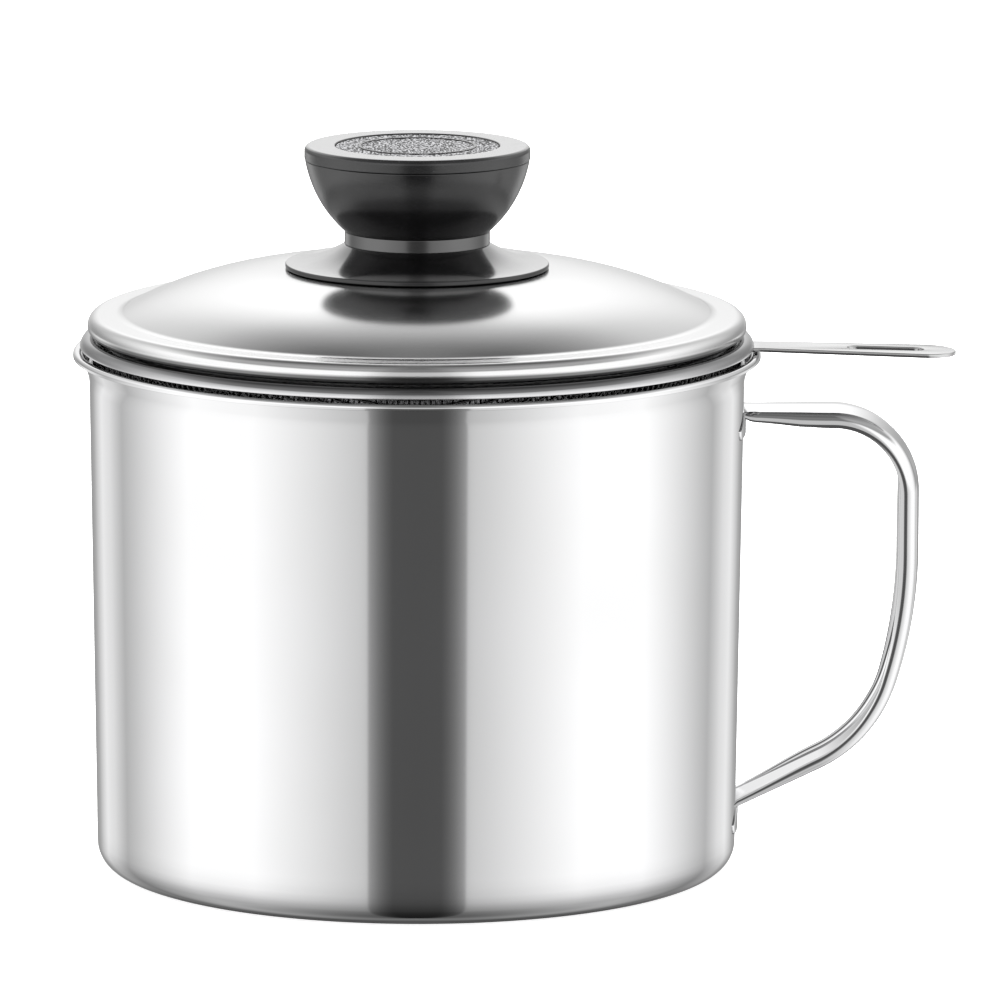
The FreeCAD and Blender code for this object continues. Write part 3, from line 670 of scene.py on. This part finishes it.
def weaveTree():
    # a flat square weave, cut round and pressed into the basket's form
    tree = bpy.data.node_groups.new("wovenBasket", "GeometryNodeTree")
    tree.interface.new_socket("Geometry", in_out="INPUT", socket_type="NodeSocketGeometry")
    for label in ("Pitch", "Wire radius", "Blank radius", "Floor radius", "Corner radius",
                  "Wall angle", "Floor height", "Floor sag", "Floor flat"):
        tree.interface.new_socket(label, in_out="INPUT", socket_type="NodeSocketFloat")
    tree.interface.new_socket("Material", in_out="INPUT", socket_type="NodeSocketMaterial")
    tree.interface.new_socket("Geometry", in_out="OUTPUT", socket_type="NodeSocketGeometry")
    known = {socket.name: socket for socket in addNode(tree, "NodeGroupInput").outputs}
    place = addNode(tree, "GeometryNodeInputPosition")
    parts = addNode(tree, "ShaderNodeSeparateXYZ", None, {0: place})
    away = addNode(tree, "ShaderNodeVectorMath", {"operation": "LENGTH"}, {0: place})
    known.update({"x": parts.outputs["X"], "y": parts.outputs["Y"], "away": away.outputs["Value"]})
    known["side"] = addNode(tree, "GeometryNodeInputNamedAttribute", {"data_type": "FLOAT"},
                            {"Name": "side"})
    known["sag"] = addNode(tree, "ShaderNodeMapRange", {"interpolation_type": "SMOOTHSTEP"},
                           {"Value": known["away"], "From Min": known["Floor flat"],
                            "From Max": known["Floor radius"], "To Min": known["Floor sag"],
                            "To Max": 0.0})
    # each sum has its name, its operation and up to three terms
    sums = [
        ("across", "DIVIDE", "Blank radius", "Pitch"), ("half", "FLOOR", "across"),
        ("count", "MULTIPLY_ADD", "half", 2, 1), ("reach", "MULTIPLY", "half", "Pitch"),
        ("back", "MULTIPLY", "reach", -1),
        # over and under, from the parity of the crossing
        ("column", "DIVIDE", "x", "Pitch"), ("column", "ROUND", "column"),
        ("row", "DIVIDE", "y", "Pitch"), ("row", "ROUND", "row"),
        ("crossing", "ADD", "column", "row"), ("parity", "FLOORED_MODULO", "crossing", 2),
        ("sign", "MULTIPLY_ADD", "parity", 2, -1), ("sign", "MULTIPLY", "sign", "side"),
        ("lift", "MULTIPLY", "sign", "Wire radius"),
        # along the blank's radius: floor, corner arc, then the sloping wall
        ("beyond", "SUBTRACT", "away", "Floor radius"), ("bent", "DIVIDE", "beyond", "Corner radius"),
        ("bent", "MAXIMUM", "bent", 0), ("angle", "MINIMUM", "bent", "Wall angle"),
        ("arc", "MULTIPLY", "Wall angle", "Corner radius"), ("rest", "SUBTRACT", "beyond", "arc"),
        ("rest", "MAXIMUM", "rest", 0), ("sine", "SINE", "angle"), ("cosine", "COSINE", "angle"),
        ("radius", "MINIMUM", "away", "Floor radius"),
        ("radius", "MULTIPLY_ADD", "sine", "Corner radius", "radius"),
        ("radius", "MULTIPLY_ADD", "rest", "cosine", "radius"),
        ("inward", "MULTIPLY", "lift", "sine"), ("radius", "SUBTRACT", "radius", "inward"),
        ("rise", "SUBTRACT", 1, "cosine"),
        ("rise", "MULTIPLY_ADD", "rise", "Corner radius", "Floor height"),
        ("rise", "MULTIPLY_ADD", "rest", "sine", "rise"),
        ("rise", "MULTIPLY_ADD", "lift", "cosine", "rise"), ("rise", "SUBTRACT", "rise", "sag"),
        ("least", "MAXIMUM", "away", 1e-6), ("scale", "DIVIDE", "radius", "least"),
        ("pressedX", "MULTIPLY", "x", "scale"), ("pressedY", "MULTIPLY", "y", "scale"),
    ]
    for name, operation, *terms in sums:
        inputs = {k: known.get(term, term) for k, term in enumerate(terms)}
        known[name] = addNode(tree, "ShaderNodeMath", {"operation": operation}, inputs)

    start = addNode(tree, "ShaderNodeCombineXYZ", None, {"X": known["back"]})
    end = addNode(tree, "ShaderNodeCombineXYZ", None, {"X": known["reach"]})
    wire = addNode(tree, "GeometryNodeCurvePrimitiveLine", None, {"Start": start, "End": end})
    beads = addNode(tree, "GeometryNodeResampleCurve", None, {"Curve": wire, "Count": known["count"]})
    first = addNode(tree, "ShaderNodeCombineXYZ", None, {"Y": known["back"]})
    stride = addNode(tree, "ShaderNodeCombineXYZ", None, {"Y": known["Pitch"]})
    rack = addNode(tree, "GeometryNodeMeshLine", {"mode": "OFFSET"},
                   {"Count": known["count"], "Start Location": first, "Offset": stride})
    placed = addNode(tree, "GeometryNodeInstanceOnPoints", None, {"Points": rack, "Instance": beads})
    warp = addNode(tree, "GeometryNodeRealizeInstances", None, {"Geometry": placed})
    weft = addNode(tree, "GeometryNodeTransform", None,
                   {"Geometry": warp, "Rotation": (0, 0, math.pi / 2)})
    joined = addNode(tree, "GeometryNodeJoinGeometry")
    for wires, side in ((warp, 1.0), (weft, -1.0)):
        marked = addNode(tree, "GeometryNodeStoreNamedAttribute", {"data_type": "FLOAT", "domain": "POINT"},
                         {"Geometry": wires, "Name": "side", "Value": side})
        tree.links.new(marked.outputs[0], joined.inputs[0])
    outside = addNode(tree, "FunctionNodeCompare", {"data_type": "FLOAT", "operation": "GREATER_THAN"},
                      {0: known["away"], 1: known["Blank radius"]})
    cut = addNode(tree, "GeometryNodeDeleteGeometry", {"domain": "POINT"},
                  {"Geometry": joined, "Selection": outside})
    pressed = addNode(tree, "ShaderNodeCombineXYZ", None,
                      {"X": known["pressedX"], "Y": known["pressedY"], "Z": known["rise"]})
    formed = addNode(tree, "GeometryNodeSetPosition", None, {"Geometry": cut, "Position": pressed})
    profile = addNode(tree, "GeometryNodeCurvePrimitiveCircle", {"mode": "RADIUS"},
                      {"Resolution": 4, "Radius": known["Wire radius"]})
    solid = addNode(tree, "GeometryNodeCurveToMesh", None,
                    {"Curve": formed, "Profile Curve": profile, "Fill Caps": True})
    real = addNode(tree, "GeometryNodeRealizeInstances", None, {"Geometry": solid})
    smooth = addNode(tree, "GeometryNodeSetShadeSmooth", None, {"Geometry": real})
    dressed = addNode(tree, "GeometryNodeSetMaterial", None,
                      {"Geometry": smooth, "Material": known["Material"]})
    addNode(tree, "NodeGroupOutput", None, {"Geometry": dressed})
    return tree


def makeStrainerMesh():
    offset = (strainer["sheet"] + strainer["meshSheet"]) / 2 + strainer["weldGap"]
    wallAngle = math.pi / 2 - math.atan(strainer["taper"])
    floor = potHeight - strainer["basketDrop"]
    reach = strainer["basketCorner"] * math.tan(wallAngle / 2)
    floorRadius = legRadius(floor, offset) - reach
    wallLength = (potHeight + strainer["meshRise"] - floor) / math.sin(wallAngle) - reach
    blank = floorRadius + strainer["basketCorner"] * wallAngle + wallLength
    values = {
        "Pitch": strainer["pitch"] * mm, "Wire radius": strainer["wire"] * mm,
        "Blank radius": blank * mm, "Floor radius": floorRadius * mm,
        "Corner radius": strainer["basketCorner"] * mm, "Wall angle": wallAngle,
        "Floor height": floor * mm, "Floor sag": strainer["basketSag"] * mm,
        "Floor flat": strainer["basketFlat"] * mm, "Material": steel["wire"],
    }
    holder = newObject("weaveHolder", bpy.data.meshes.new("weaveHolder"))
    tree = weaveTree()
    modifier = holder.modifiers.new("weave", "NODES")
    modifier.node_group = tree
    for socket in tree.interface.items_tree:
        if socket.in_out == "INPUT" and socket.name in values:
            modifier[socket.identifier] = values[socket.name]
    mesh = evaluatedMesh("strainerMesh", holder)
    addPiece("strainerMesh", mesh, steel["wire"], "strainer", "strainer_mesh", "mesh_steel")


tab = {
    "rootWidth": 9.5, "tipRadius": 6.7, "slotLength": 16.3, "slotWidth": 4.4, "margin": 6.8,
    "edge": 0.22, "rootInset": 1.5, "tongueInset": 0.35, "dip": 1.5, "sharpAngle": 35.0,
}


def tabOutlinePoints():
    # seen from above, from the lip round the tip and back
    reach = reachOf("strainer_tab")
    tip = reach - tab["tipRadius"]
    root = legRadius(lipEdge, (strainer["sheet"] + strainer["meshSheet"]) / 2) + tab["rootInset"]
    lean = math.asin((tab["tipRadius"] - tab["rootWidth"] / 2) / (tip - root))
    points = [(root, -tab["rootWidth"] / 2)]
    for k in range(41):
        angle = -math.pi / 2 - lean + (math.pi + 2 * lean) * k / 40
        points.append((tip + tab["tipRadius"] * math.cos(angle), tab["tipRadius"] * math.sin(angle)))
    points.append((root, tab["rootWidth"] / 2))
    return points


def tabSlotPoints():
    radius = tab["slotWidth"] / 2
    end = reachOf("strainer_tab") - tab["margin"] - radius
    start = end + 2 * radius - tab["slotLength"]
    points = []
    for centre, first in ((end, -math.pi / 2), (start, math.pi / 2)):
        for k in range(17):
            angle = first + math.pi * k / 16
            points.append((centre + radius * math.cos(angle), radius * math.sin(angle)))
    return points


def makeTab():
    curve = bpy.data.curves.new("strainerTab", "CURVE")
    curve.dimensions = "2D"
    curve.fill_mode = "BOTH"
    curve.extrude = (strainer["tabSheet"] / 2 - tab["edge"]) * mm
    curve.bevel_depth = tab["edge"] * mm
    curve.bevel_resolution = 3
    curve.offset = -tab["edge"] * mm
    for points in (tabOutlinePoints(), tabSlotPoints()):
        spline = curve.splines.new("POLY")
        spline.points.add(len(points) - 1)
        for target, (x, y) in zip(spline.points, points):
            target.co = (x * mm, y * mm, 0, 1)
        spline.use_cyclic_u = True
    mesh = evaluatedMesh("strainerTab", newObject("tabHolder", curve))
    mesh.transform(Matrix.Translation((0, 0, (tabLow + strainer["tabSheet"] / 2) * mm)))
    shape = bmesh.new()
    shape.from_mesh(mesh)
    bmesh.ops.remove_doubles(shape, verts=shape.verts, dist=1e-7)
    droop(shape)
    addTongue(shape)
    bmesh.ops.recalc_face_normals(shape, faces=shape.faces)
    shape.to_mesh(mesh)
    shape.free()
    mesh.polygons.foreach_set("use_smooth", [True] * len(mesh.polygons))
    mesh.set_sharp_from_angle(angle=math.radians(tab["sharpAngle"]))
    addPiece("strainerTab", mesh, steel["tab"], "strainer", "strainer_tab", "tab_steel")


def droop(shape):
    # the tab sags a little outside the pot's rim
    geometry = list(shape.verts) + list(shape.edges) + list(shape.faces)
    bmesh.ops.bisect_plane(shape, geom=geometry, plane_co=(rimRadius * mm, 0, 0), plane_no=(1, 0, 0))
    pivot = Vector((rimRadius, 0, tabLow + strainer["tabSheet"])) * mm
    turn = Matrix.Rotation(math.radians(tab["dip"]), 3, "Y")
    for vert in shape.verts:
        if vert.co.x > pivot.x + 1e-7:
            vert.co = pivot + turn @ (vert.co - pivot)


def addTongue(shape):
    # weld tongue turned up inside the rolled lip
    outer = lipOuter - strainer["sheet"] / 2 - tab["tongueInset"]
    inner = outer - strainer["tabSheet"]
    low, high = tabLow + strainer["tabSheet"] / 2, highOf("strainer_tab")
    steps = 12
    rows = []
    for k in range(steps + 1):
        y = tab["rootWidth"] * (k / steps - 0.5)
        rows.append([shape.verts.new((math.sqrt(r * r - y * y) * mm, y * mm, z * mm))
                     for r, z in ((inner, low), (outer, low), (outer, high), (inner, high))])
    for face in [corners for a, b in zip(rows, rows[1:]) for corners in bridge(a, b)]:
        shape.faces.new(face)
    shape.faces.new(rows[0])
    shape.faces.new(rows[-1])


makeStrainerRim()
makeStrainerMesh()
makeClampRing()
makeTab()
print("strainer made")


lid = {
    "sheet": 0.6, "hemGap": 0.3, "ledgeRise": 4.5, "ledgeWidth": 6.9, "ledgeFall": 0.1,
    "domeSlope": 29.0, "domeBend": 75.0, "domeFoot": 4.0, "edgeBend": 2.1, "hemBend": 1.6,
    "plugClearance": 0.4, "plugDepth": 3.65, "plugBend": 0.8, "hole": 2.8, "turns": 320,
}
lidRadius, lidTop = reachOf("lid_shell"), highOf("lid_shell")


def makeLid():
    half = lid["sheet"] / 2
    hem = lipCrown + lid["hemGap"] + half
    ledge = hem - half + lid["ledgeRise"] - half
    crown = lidTop - half
    side = lidRadius - half
    foot = lidRadius - lid["ledgeWidth"]
    plug = lipInner - strainer["sheet"] / 2 - lid["plugClearance"] - half
    corner = foot - (crown - ledge) / math.tan(math.radians(lid["domeSlope"]))
    corners = [
        (lid["hole"], crown), (corner, crown), (foot, ledge), (side, ledge - lid["ledgeFall"]),
        (side, hem), (plug, hem), (plug, hem - lid["plugDepth"]),
    ]
    bends = [lid["domeBend"], lid["domeFoot"], lid["edgeBend"], lid["hemBend"], lid["plugBend"]]
    section = sheetOutline(corners, bends, lid["sheet"], steps=16)
    turnPiece("lidShell", section, steel["lid"], "lid", "lid_shell", "lid_steel", turns=lid["turns"])


makeLid()
print("lid made")


knob = {
    "flangeSeatInset": 2.0, "flangeEdge": 1.0, "flangeLift": 0.15, "flangeSag": 0.85,
    "edgeBreak": 0.3, "collarWall": 1.1, "collarFit": 0.05, "bowlSag": 1.5, "bowlWall": 2.6,
    "bowlFloorRise": 4.55, "bossRadius": 6.5, "bossWall": 2.5, "capShoulder": 1.1,
    "capPlugDepth": 2.4, "capPlugFit": 0.15, "groove": 0.25, "recessRadius": 17.4, "recess": 0.8,
    "ringInset": 5.2, "ringWidth": 0.6, "ringHeight": 0.2,
    # roundings of the edges; tiny ones only break a corner
    "tiny": 0.08, "seatEdge": 1.0, "throatEdge": 0.5, "collarEdges": (0.1, 0.18, 0.18, 0.1),
    "waistEdge": 0.4, "cavityEdges": (0.4, 1.0, 0.6, 0.4), "recessFoot": 0.1, "recessEdge": 0.35,
    "plugEdge": 0.6, "discEdges": (0.08, 0.15, 0.08, 0.08, 0.08, 0.08),
}
flangeTop, collarTop = highOf("knob_flange"), highOf("knob_collar")
bowlTop, knobTop = highOf("knob_bowl"), highOf("knob_cap")
bowlRadius, capRadius = reachOf("knob_bowl"), reachOf("knob_cap")
collarRadius, flangeRadius = reachOf("knob_collar"), reachOf("knob_flange")


def makeFlange():
    edgeLow = lidTop + knob["flangeLift"]
    edgeTop = edgeLow + knob["flangeEdge"]
    brink, ledge = (flangeRadius, edgeTop), (collarRadius, flangeTop)
    arc = arcPoints(brink, ledge, knob["flangeSag"], 18)
    corners = [(lid["hole"], lidTop), (flangeRadius - knob["flangeSeatInset"], lidTop),
               (flangeRadius, edgeLow), brink] + arc + [ledge, (lid["hole"], flangeTop)]
    bends = [knob["tiny"], knob["seatEdge"], knob["edgeBreak"], knob["edgeBreak"]] + [0] * len(arc)
    section = solidOutline(corners, bends + [knob["throatEdge"], knob["tiny"]])
    buffTops(turnPiece("knobFlange", section, blackPhenolic, "lid", "knob_flange", "knob_plastic"))


def makeCollar():
    inner = collarRadius - knob["collarWall"]
    corners = [(inner, flangeTop), (collarRadius, flangeTop), (collarRadius, collarTop), (inner, collarTop)]
    section = solidOutline(corners, knob["collarEdges"])
    turnPiece("knobCollar", section, steel["collar"], "lid", "knob_collar", "collar_steel")


def makeBowl():
    spigot = collarRadius - knob["collarWall"] - knob["collarFit"]
    cavity = bowlRadius - knob["bowlWall"]
    floor = collarTop + knob["bowlFloorRise"]
    insertRadius, insertTop = reachOf("knob_insert"), highOf("knob_insert")
    tiny = knob["tiny"]
    waist, shoulder = (collarRadius, collarTop), (bowlRadius, bowlTop)
    arc = arcPoints(waist, shoulder, -knob["bowlSag"], 20)
    corners = [(0, insertTop), (insertRadius, insertTop), (insertRadius, flangeTop),
               (spigot, flangeTop), (spigot, collarTop), waist] + arc + [
        shoulder, (cavity, bowlTop), (cavity, bowlTop - knob["capPlugDepth"] - knob["capPlugFit"]),
        (spigot - knob["bowlWall"], floor), (knob["bossRadius"], floor),
        (knob["bossRadius"], insertTop + knob["bossWall"]), (0, insertTop + knob["bossWall"])]
    bends = [0, tiny, tiny, tiny, tiny, knob["waistEdge"]] + [0] * len(arc)
    section = solidOutline(corners, bends + [knob["groove"], tiny, *knob["cavityEdges"], 0])
    turnPiece("knobBowl", section, blackPhenolic, "lid", "knob_bowl", "knob_plastic")


def makeCap():
    plug = bowlRadius - knob["bowlWall"] - knob["capPlugFit"]
    floor = knobTop - knob["recess"]
    under = bowlTop - knob["capPlugDepth"]
    tiny = knob["tiny"]
    corners = [
        (0, floor), (knob["recessRadius"], floor), (knob["recessRadius"], knobTop), (capRadius, knobTop),
        (capRadius, bowlTop), (plug, bowlTop), (plug, under), (plug - knob["bowlWall"], under),
        (plug - knob["bowlWall"], floor - knob["bowlWall"]), (0, floor - knob["bowlWall"]),
    ]
    bends = [0, knob["recessFoot"], knob["recessEdge"], knob["capShoulder"], knob["groove"],
             tiny, tiny, tiny, knob["plugEdge"], 0]
    section = solidOutline(corners, bends, steps=8)
    buffTops(turnPiece("knobCap", section, blackPhenolic, "lid", "knob_cap", "knob_plastic"))


def makeTopDisc():
    low = knobTop - knob["recess"]
    top = highOf("knob_top_disc") - knob["ringHeight"]
    rim = reachOf("knob_top_disc")
    middle = knob["recessRadius"] - knob["ringInset"]
    outer, inner = middle + knob["ringWidth"] / 2, middle - knob["ringWidth"] / 2
    high = top + knob["ringHeight"]
    corners = [(0, low), (rim, low), (rim, top), (outer, top), (outer, high), (inner, high),
               (inner, top), (0, top)]
    section = solidOutline(corners, [0, *knob["discEdges"], 0], steps=4)
    turnPiece("knobTopDisc", section, grainyPhenolic, "lid", "knob_top_disc", "disc_plastic")


makeFlange()
makeCollar()
makeBowl()
makeCap()
makeTopDisc()
for node, material in (("lid_screw", steel["screw"]), ("screw_washer", steel["screw"]),
                       ("spring_washer", steel["screw"]), ("knob_insert", brassMaterial())):
    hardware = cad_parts[node]
    hardware.data.materials.clear()
    hardware.data.materials.append(material)
print("knob made")


studio = {
    "floorSize": 16.0, "floorGlow": 0.75,
    "softboxPower": 130, "softboxPlace": (0, 0.3, 2.4), "softboxSize": 2.4,
    # brightness of the tent round the table, by degrees away from the camera's side
    "tentLow": [(0, 0.115), (8.5, 0.118), (11, 0.17), (13.5, 0.26), (16, 0.41), (17.2, 0.52), (17.6, 0.84),
                (20, 0.92), (35, 1.18), (60, 1.6), (88, 1.6), (103, 1.25), (118, 0.88), (127, 0.68),
                (138, 1.05), (147, 1.15), (160, 0.5), (168, 0.35), (180, 0.9)],
    "tentHigh": [(0, 0.5), (10, 0.5), (20, 1.0), (100, 1.0), (125, 0.7), (150, 0.48), (158, 0.53),
                 (162, 0.6), (166, 0.75), (170, 0.87), (178, 1.0)],
    # by height in degrees above the table, behind the object and on the camera's side
    "backRise": [(-8, 0.78), (2, 0.85), (6, 1.0), (14, 1.38), (22, 1.66), (30, 1.8), (38, 1.74),
                 (43, 1.42), (47, 1.08), (51, 0.84), (58, 0.42), (62, 0.27), (90, 0.26)],
    "frontRise": [(-8, 1.6), (30, 1.6), (38, 0.5), (55, 0.6), (70, 0.4), (90, 0.28)],
    # and below the table's edge
    "backFall": [(-90, 0.34), (-73, 0.27), (-34, 0.13), (-24, 0.6), (-16, 1.0)],
    "frontFall": [(-90, 0.25), (-75, 0.38), (-62, 0.6), (-52, 0.86), (-38, 0.97), (-25, 1.0)],
    "gapTurn": 0.7,
    # from the front's levels to the back's by share of half a turn, and up over the table's edge
    "sideTurn": (0.4, 0.75), "lateTurn": (0.7, 0.95), "horizon": (-8, -4),
}


def makeFloor():
    size = studio["floorSize"] / 2
    corners = [(-size, -size, 0), (size, -size, 0), (size, size, 0), (-size, size, 0)]
    mesh = meshFrom("floor", corners, [(0, 1, 2, 3)])
    material, tree = newMaterial("paintedBoardPale")
    place = addNode(tree, "ShaderNodeTexCoord").outputs["Object"]
    mottle = addNode(tree, "ShaderNodeTexNoise", None, {"Vector": place, "Scale": 3.0})
    tone = addNode(tree, "ShaderNodeMix", {"data_type": "RGBA"},
                   {0: mottle, 6: linearColour("#f3f3f3"), 7: linearColour("#f6f6f6")})
    shader = addNode(tree, "ShaderNodeBsdfPrincipled", None,
                     {"Base Color": tone.outputs[2], "Emission Color": tone.outputs[2],
                      "Emission Strength": studio["floorGlow"], "Roughness": 0.9})
    addNode(tree, "ShaderNodeOutputMaterial", None, {"Surface": shader})
    mesh.materials.append(material)
    floor = newObject("floor", mesh)
    floor.visible_glossy = False


def makeWorld():
    # a light tent with a gap for the camera: bright walls, a greyer roof
    world = bpy.data.worlds.new("softStudio")
    bpy.context.scene.world = world
    world.use_nodes = True
    tree = world.node_tree
    tree.nodes.clear()
    way = addNode(tree, "ShaderNodeTexCoord").outputs["Generated"]
    x, y, z = addNode(tree, "ShaderNodeSeparateXYZ", None, {0: way}).outputs
    front = addNode(tree, "ShaderNodeMath", {"operation": "MULTIPLY"}, {0: y, 1: -1.0})
    angle = addNode(tree, "ShaderNodeMath", {"operation": "ARCTAN2"}, {0: x, 1: front})
    turned = addNode(tree, "ShaderNodeMath", {"operation": "SUBTRACT"},
                     {0: angle, 1: math.radians(studio["gapTurn"])})
    size = addNode(tree, "ShaderNodeMath", {"operation": "ABSOLUTE"}, {0: turned})
    away = addNode(tree, "ShaderNodeMath", {"operation": "DIVIDE"}, {0: size, 1: math.pi})
    height = addNode(tree, "ShaderNodeMath", {"operation": "ARCSINE"}, {0: z})
    # the tent's gap widens a little towards the table
    lean = addNode(tree, "ShaderNodeMath", {"operation": "COSINE"}, {0: height})
    narrow = addNode(tree, "ShaderNodeMath", {"operation": "SQRT"}, {0: lean})
    lowAway = addNode(tree, "ShaderNodeMath", {"operation": "MULTIPLY"}, {0: away, 1: narrow})
    shares = []
    for kind, value, limits in (
            ("LINEAR", height, [math.radians(degrees) for degrees in (-10, 90)]),
            ("LINEAR", height, [math.radians(degrees) for degrees in (-90, 0)]),
            ("SMOOTHSTEP", height, [math.radians(degrees) for degrees in studio["horizon"]]),
            ("SMOOTHSTEP", away, studio["sideTurn"]), ("SMOOTHSTEP", away, studio["lateTurn"])):
        shares.append(addNode(tree, "ShaderNodeMapRange", {"interpolation_type": kind},
                              {"Value": value, "From Min": limits[0], "From Max": limits[1]}))
    rise, sink, overEdge, sideTurn, lateTurn = shares
    levels = {}
    for name, share, low, high in (
            ("tentLow", lowAway, 0, 180), ("tentHigh", away, 0, 180),
            ("frontRise", rise, -10, 90), ("backRise", rise, -10, 90),
            ("frontFall", sink, -90, 0), ("backFall", sink, -90, 0)):
        ramp = addNode(tree, "ShaderNodeValToRGB", None, {0: share})
        top = setStops(ramp, studio[name], low, high)
        levels[name] = addNode(tree, "ShaderNodeMath", {"operation": "MULTIPLY"}, {0: ramp, 1: top})
    rising = addNode(tree, "ShaderNodeMix", {"data_type": "FLOAT"},
                     {0: sideTurn, 2: levels["frontRise"], 3: levels["backRise"]})
    falling = addNode(tree, "ShaderNodeMix", {"data_type": "FLOAT"},
                      {0: lateTurn, 2: levels["frontFall"], 3: levels["backFall"]})
    upper = addNode(tree, "ShaderNodeMath", {"operation": "MULTIPLY"},
                    {0: levels["tentHigh"], 1: rising})
    lower = addNode(tree, "ShaderNodeMath", {"operation": "MULTIPLY"},
                    {0: levels["tentLow"], 1: falling})
    tent = addNode(tree, "ShaderNodeMix", {"data_type": "FLOAT"}, {0: overEdge, 2: lower, 3: upper})
    light = addNode(tree, "ShaderNodeBackground", None, {"Color": (1, 1, 1, 1), "Strength": tent})
    addNode(tree, "ShaderNodeOutputWorld", None, {"Surface": light})


def makeSoftbox():
    lamp = bpy.data.lights.new("topSoftbox", "AREA")
    lamp.shape = "RECTANGLE"
    lamp.size = lamp.size_y = studio["softboxSize"]
    lamp.energy = studio["softboxPower"]
    box = newObject("topSoftbox", lamp)
    box.location = studio["softboxPlace"]
    box.rotation_euler = (-box.location).to_track_quat("-Z", "Y").to_euler()
    box.visible_glossy = False


camera = {
    "place": (17.70, -2401.0, 498.67), "pitch": 9.92, "roll": 0.003, "lens": 412.58, "sensor": 36.0,
}


def makeCamera():
    data = bpy.data.cameras.new("camera")
    data.sensor_width = camera["sensor"]
    data.lens = camera["lens"]
    data.clip_start, data.clip_end = 0.05, 50
    view = newObject("camera", data)
    turn = Matrix.Rotation(math.radians(90 - camera["pitch"]), 4, "X")
    turn = turn @ Matrix.Rotation(camera["roll"], 4, "Z")
    view.matrix_world = Matrix.Translation(Vector(camera["place"]) * mm) @ turn
    bpy.context.scene.camera = view


makeFloor()
makeWorld()
makeSoftbox()
makeCamera()
bpy.context.scene.view_settings.view_transform = "Standard"
print("studio made")
